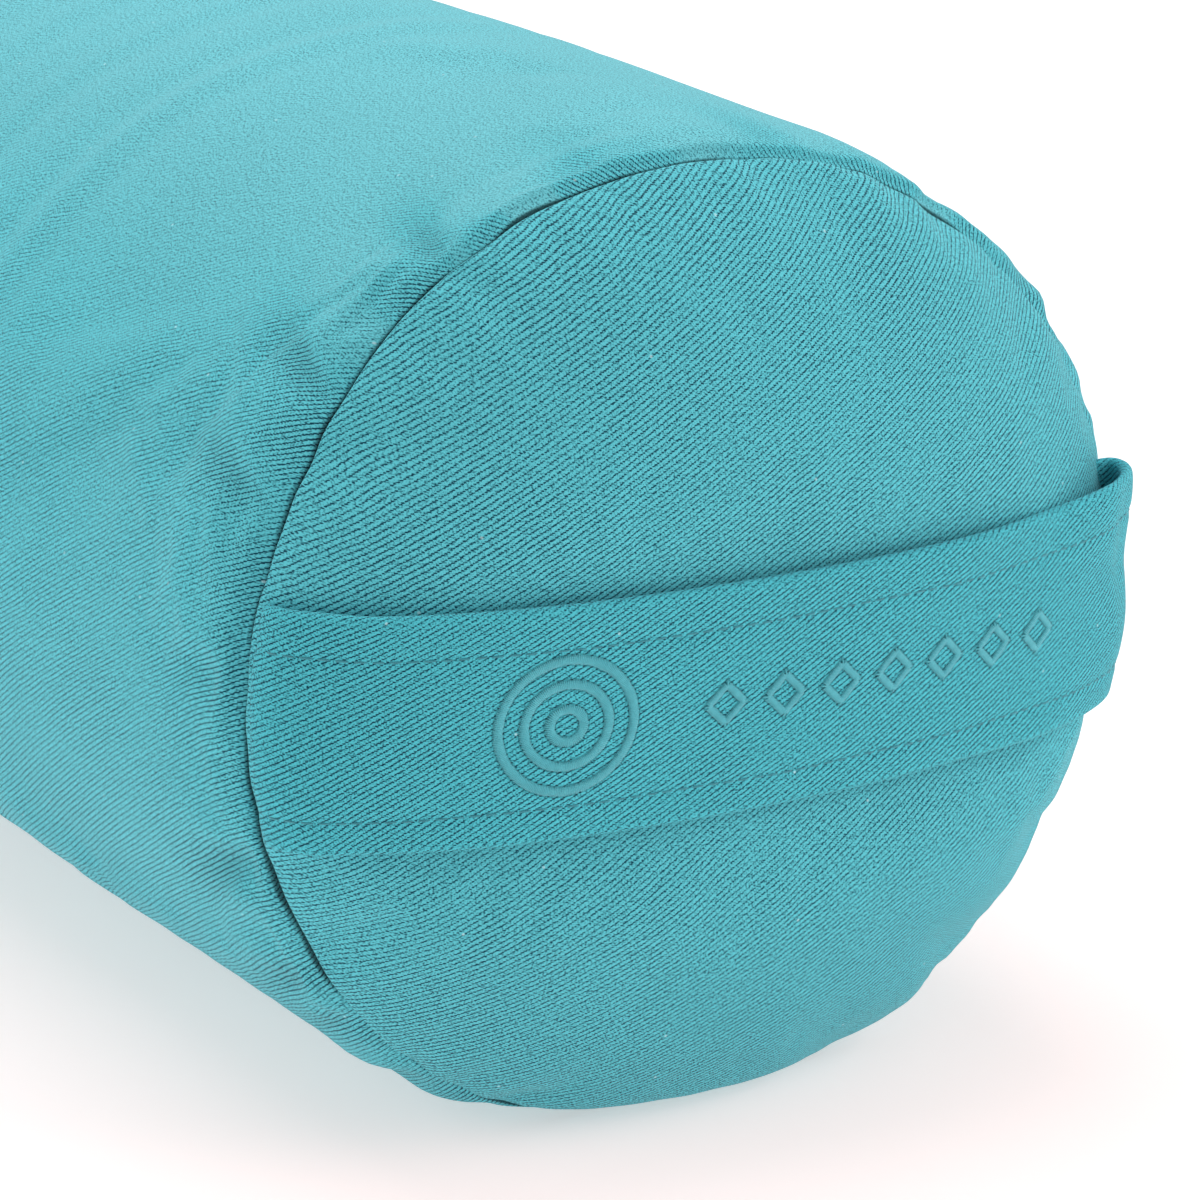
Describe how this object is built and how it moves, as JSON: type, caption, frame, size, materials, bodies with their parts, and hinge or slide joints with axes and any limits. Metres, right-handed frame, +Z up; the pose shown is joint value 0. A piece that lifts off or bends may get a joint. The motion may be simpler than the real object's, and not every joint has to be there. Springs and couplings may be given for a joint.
{
  "type": "bolster pillow",
  "caption": "Round padded yoga bolster with a removable twill cover, a wide carry strap across one end and a zip along the back.",
  "frame": {"origin": "centre of the bounding box's base, where the bolster rests on the floor", "axes": "+X along the bolster towards the end with the handle, +Z up, +Y towards the back, where the zip is"},
  "size_m": [0.6181, 0.218, 0.2047],
  "materials": {
    "cover_twill": "teal 3/1 cotton twill, matt, diagonal wales about 1.25 mm apart",
    "strap_twill": "the same teal twill, folded and interfaced, a shade deeper",
    "interfacing": "off-white fusible interfacing",
    "sewing_thread": "matt teal polyester sewing thread",
    "embroidery_thread": "teal satin-stitch embroidery thread with a soft sheen",
    "zip_tape": "teal woven polyester tape",
    "zip_coil": "teal nylon coil",
    "zip_stops": "pressed aluminium stops",
    "zip_metal": "nickel-plated zinc slider and pull",
    "case_calico": "unbleached calico",
    "case_thread": "white cotton thread",
    "cotton_fill": "packed cotton wadding"
  },
  "bodies": {
    "root": {"cover_body_panel": "cover_twill", "cover_front_cap": "cover_twill", "cover_rear_cap": "cover_twill", "front_seam_overlock": "sewing_thread", "rear_seam_overlock": "sewing_thread", "handle_left_end": "strap_twill", "handle_right_end": "strap_twill", "zip_upper_tape": "zip_tape", "zip_lower_tape": "zip_tape", "zip_upper_coil": "zip_coil", "zip_lower_coil": "zip_coil", "zip_top_stops": "zip_stops", "zip_bottom_stop": "zip_stops", "zip_upper_stitching": "sewing_thread", "zip_lower_stitching": "sewing_thread", "case_body_panel": "case_calico", "case_front_end": "case_calico", "case_rear_end": "case_calico", "case_closing_stitches": "case_thread", "fill_core": "cotton_fill"},
    "handle": {"handle_strap": "strap_twill", "handle_interfacing": "interfacing", "handle_upper_topstitch": "sewing_thread", "handle_lower_topstitch": "sewing_thread", "ripple_embroidery": "embroidery_thread", "diamond_embroidery": "embroidery_thread"},
    "slider": {"zip_slider": "zip_metal"},
    "pull_tab": {"zip_pull_tab": "zip_metal"}
  },
  "joints": [
    {"name": "handle_pull", "type": "slide", "parent": "root", "child": "handle", "axis": [1, 0, 0], "range_m": [0, 0.012], "stiffness_N_per_m": 150},
    {"name": "zip_travel", "type": "slide", "parent": "root", "child": "slider", "axis": [-1, 0, 0], "range_m": [0, 0.4]},
    {"name": "pull_tab_flip", "type": "hinge", "parent": "slider", "child": "pull_tab", "pos_m": [0.201, 0.10196, 0.04825], "axis": [0, -0.4226, -0.9063], "range_deg": [0, 165]}
  ]
}
